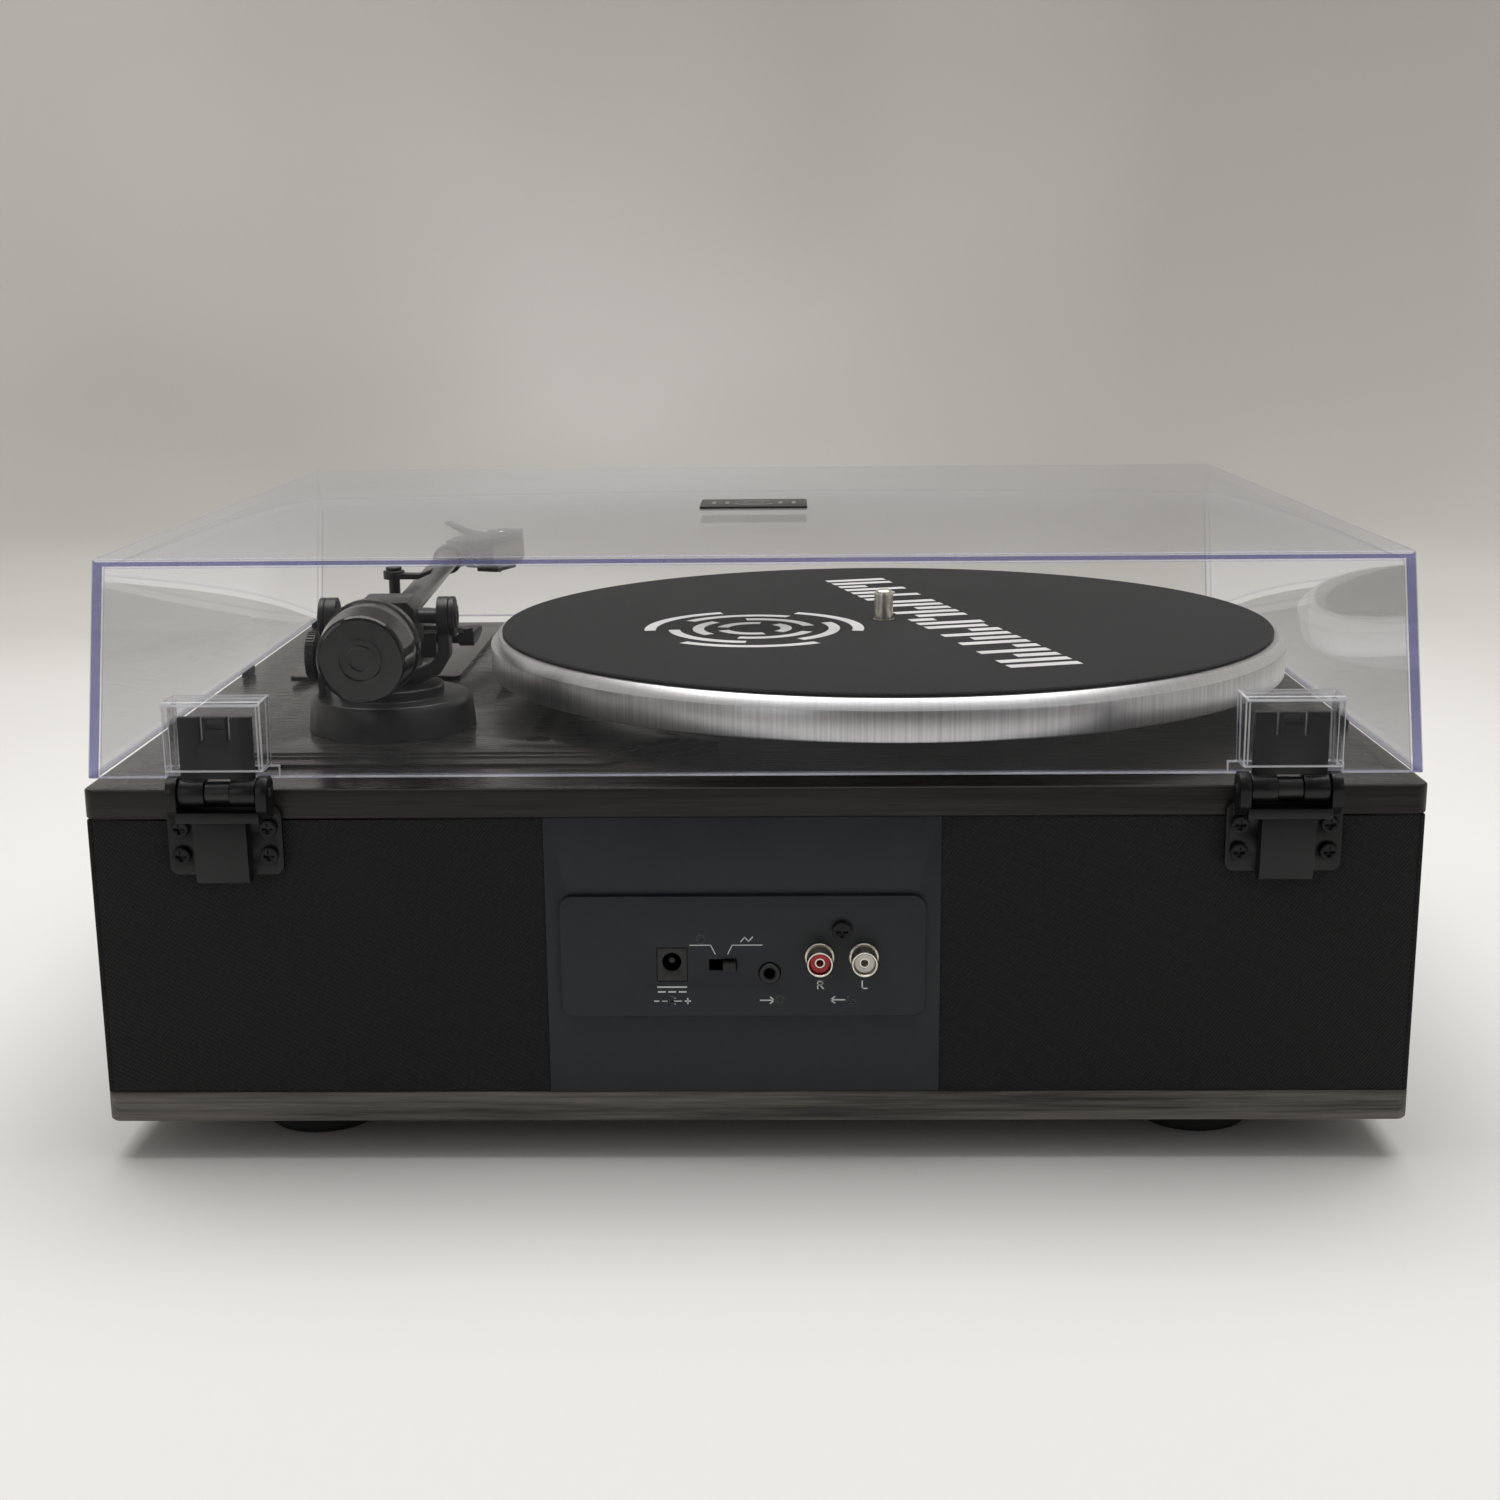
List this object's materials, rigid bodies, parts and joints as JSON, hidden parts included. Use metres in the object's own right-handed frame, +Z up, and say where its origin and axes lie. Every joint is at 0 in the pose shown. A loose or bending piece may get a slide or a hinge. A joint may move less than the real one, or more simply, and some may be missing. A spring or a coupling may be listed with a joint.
{
  "type": "turntable record player",
  "caption": "Belt-drive turntable on a cloth-covered speaker body, with a hinged clear lid, a counterweighted tonearm and rear sockets.",
  "frame": {"origin": "middle of the object's outer box, on the surface that the feet stand on", "axes": "+X across the deck to the tonearm's side, +Y to the sockets at the back, +Z up"},
  "size_m": [0.42, 0.334, 0.1966],
  "materials": {
    "veneer": "dark grey-brown open-grain veneer, matte",
    "fibreboard": "raw fibreboard",
    "cloth": "near-black twill speaker cloth",
    "panel_plastic": "satin black, slightly blue",
    "socket_plastic": "moulded black",
    "red_socket": "nickel shell with a red insulator",
    "white_socket": "nickel shell with a white insulator",
    "black_steel": "black zinc",
    "rubber": "matte black",
    "gloss_black": "polished",
    "knob_plastic": "satin black",
    "bronze": "turned",
    "motor_steel": "plain",
    "circuit": "green solder mask",
    "speaker": "paper and steel",
    "platter_metal": "satin turned",
    "felt": "charcoal felt",
    "nickel": "polished",
    "arm_plastic": "satin black",
    "tube_metal": "satin grey",
    "cartridge_plastic": "warm grey",
    "stylus_plastic": "dark grey",
    "weight_metal": "gloss black anodised",
    "hinge_plastic": "satin black",
    "clear_acrylic": "clear, polished",
    "badge_metal": "dark printed plate"
  },
  "bodies": {
    "plinth": {"top_board": "veneer", "bottom_board": "veneer", "armboard": "veneer", "front_board": "fibreboard", "left_board": "fibreboard", "right_board": "fibreboard", "rear_board": "fibreboard", "wall_cloth": "cloth", "rear_cloth_left": "cloth", "rear_cloth_right": "cloth", "rear_panel": "panel_plastic", "jack_plate": "panel_plastic", "dc_jack": "socket_plastic", "aux_jack": "socket_plastic", "rca_red": "red_socket", "rca_white": "white_socket", "plate_screw": "black_steel", "hinge_screws": "black_steel", "feet": "rubber", "drive_belt": "rubber", "control_plate": "gloss_black", "main_bearing": "bronze", "motor": "motor_steel", "hinge_pins": "motor_steel", "hinge_springs": "motor_steel", "circuit_board": "circuit", "speakers": "speaker", "arm_base": "arm_plastic", "arm_rest": "arm_plastic", "cue_column": "arm_plastic", "hinge_bracket_left": "hinge_plastic", "hinge_bracket_right": "hinge_plastic", "hinge_covers": "hinge_plastic"},
    "lid": {"dust_cover": "clear_acrylic", "hinge_pockets": "clear_acrylic", "hinge_leaf_left": "hinge_plastic", "hinge_leaf_right": "hinge_plastic", "lid_badge": "badge_metal", "lid_bumpers": "rubber"},
    "platter": {"platter": "platter_metal", "slip_mat": "felt", "spindle": "nickel", "drive_ring": "platter_metal"},
    "motor_pulley": {"motor_pulley": "bronze"},
    "arm_yoke": {"arm_yoke": "arm_plastic", "yoke_caps": "arm_plastic"},
    "arm": {"arm_housing": "arm_plastic", "arm_tube": "tube_metal", "headshell": "arm_plastic", "cartridge": "cartridge_plastic", "stylus": "stylus_plastic"},
    "counterweight": {"counterweight": "weight_metal"},
    "force_dial": {"force_dial": "arm_plastic"},
    "anti_skate_dial": {"anti_skate_dial": "arm_plastic"},
    "cue_lift": {"cue_lift": "arm_plastic"},
    "cue_lever": {"cue_lever": "arm_plastic"},
    "arm_clip": {"arm_clip": "arm_plastic"},
    "mode_switch": {"mode_switch": "socket_plastic"},
    "volume_knob": {"volume_knob": "knob_plastic"},
    "speed_selector": {"speed_selector": "knob_plastic"}
  },
  "joints": [
    {"name": "lid_hinge", "type": "hinge", "parent": "plinth", "child": "lid", "pos_m": [0, 0.1617, 0.1243], "axis": [-1, 0, 0], "range_deg": [0, 70]},
    {"name": "platter_spin", "type": "hinge", "parent": "plinth", "child": "platter", "pos_m": [-0.0484, -0.0027, 0.13], "axis": [0, 0, -1], "continuous": true},
    {"name": "motor_spin", "type": "hinge", "parent": "plinth", "child": "motor_pulley", "pos_m": [-0.11761, -0.09454, 0.134], "axis": [0, 0, -1], "continuous": true},
    {"name": "arm_swing", "type": "hinge", "parent": "plinth", "child": "arm_yoke", "pos_m": [0.1275, 0.0726, 0.14], "axis": [0, 0, -1], "range_deg": [0, 48]},
    {"name": "arm_tilt", "type": "hinge", "parent": "arm_yoke", "child": "arm", "pos_m": [0.1275, 0.0726, 0.1648], "axis": [-0.9994, -0.0349, 0], "range_deg": [0, 2.2]},
    {"name": "cue_lift_slide", "type": "slide", "parent": "plinth", "child": "cue_lift", "axis": [0, 0, 1], "range_m": [0, 0.0014]},
    {"name": "cue_lever_turn", "type": "hinge", "parent": "plinth", "child": "cue_lever", "pos_m": [0.11869, 0.03862, 0.1515], "axis": [1, 0, 0], "range_deg": [0, 41]},
    {"name": "weight_slide", "type": "slide", "parent": "arm", "child": "counterweight", "axis": [-0.0349, 0.9993, -0.0148], "range_m": [-0.003, 0.003]},
    {"name": "force_dial_turn", "type": "hinge", "parent": "arm", "child": "force_dial", "pos_m": [0.12652, 0.10058, 0.16079], "axis": [-0.0349, 0.9993, -0.0148], "continuous": true},
    {"name": "anti_skate_turn", "type": "hinge", "parent": "plinth", "child": "anti_skate_dial", "pos_m": [0.154, 0.0726, 0.1512], "axis": [1, 0, 0], "range_deg": [0, 270]},
    {"name": "arm_clip_swing", "type": "hinge", "parent": "plinth", "child": "arm_clip", "pos_m": [0.137, 0.01, 0.171], "axis": [0, 0, 1], "range_deg": [0, 110]},
    {"name": "mode_slide", "type": "slide", "parent": "plinth", "child": "mode_switch", "axis": [1, 0, 0], "range_m": [0, 0.0042]},
    {"name": "volume_turn", "type": "hinge", "parent": "plinth", "child": "volume_knob", "pos_m": [0.15, -0.105, 0.134], "axis": [0, 0, -1], "range_deg": [0, 300]},
    {"name": "speed_turn", "type": "hinge", "parent": "plinth", "child": "speed_selector", "pos_m": [0.15, -0.068, 0.134], "axis": [0, 0, -1], "range_deg": [-30, 30]}
  ],
  "couplings": [
    {"joint": "motor_spin", "follows": "platter_spin", "ratio": 12},
    {"joint": "cue_lift_slide", "follows": "arm_tilt", "m_per_rad": 0.034},
    {"joint": "cue_lever_turn", "follows": "arm_tilt", "ratio": 18}
  ]
}
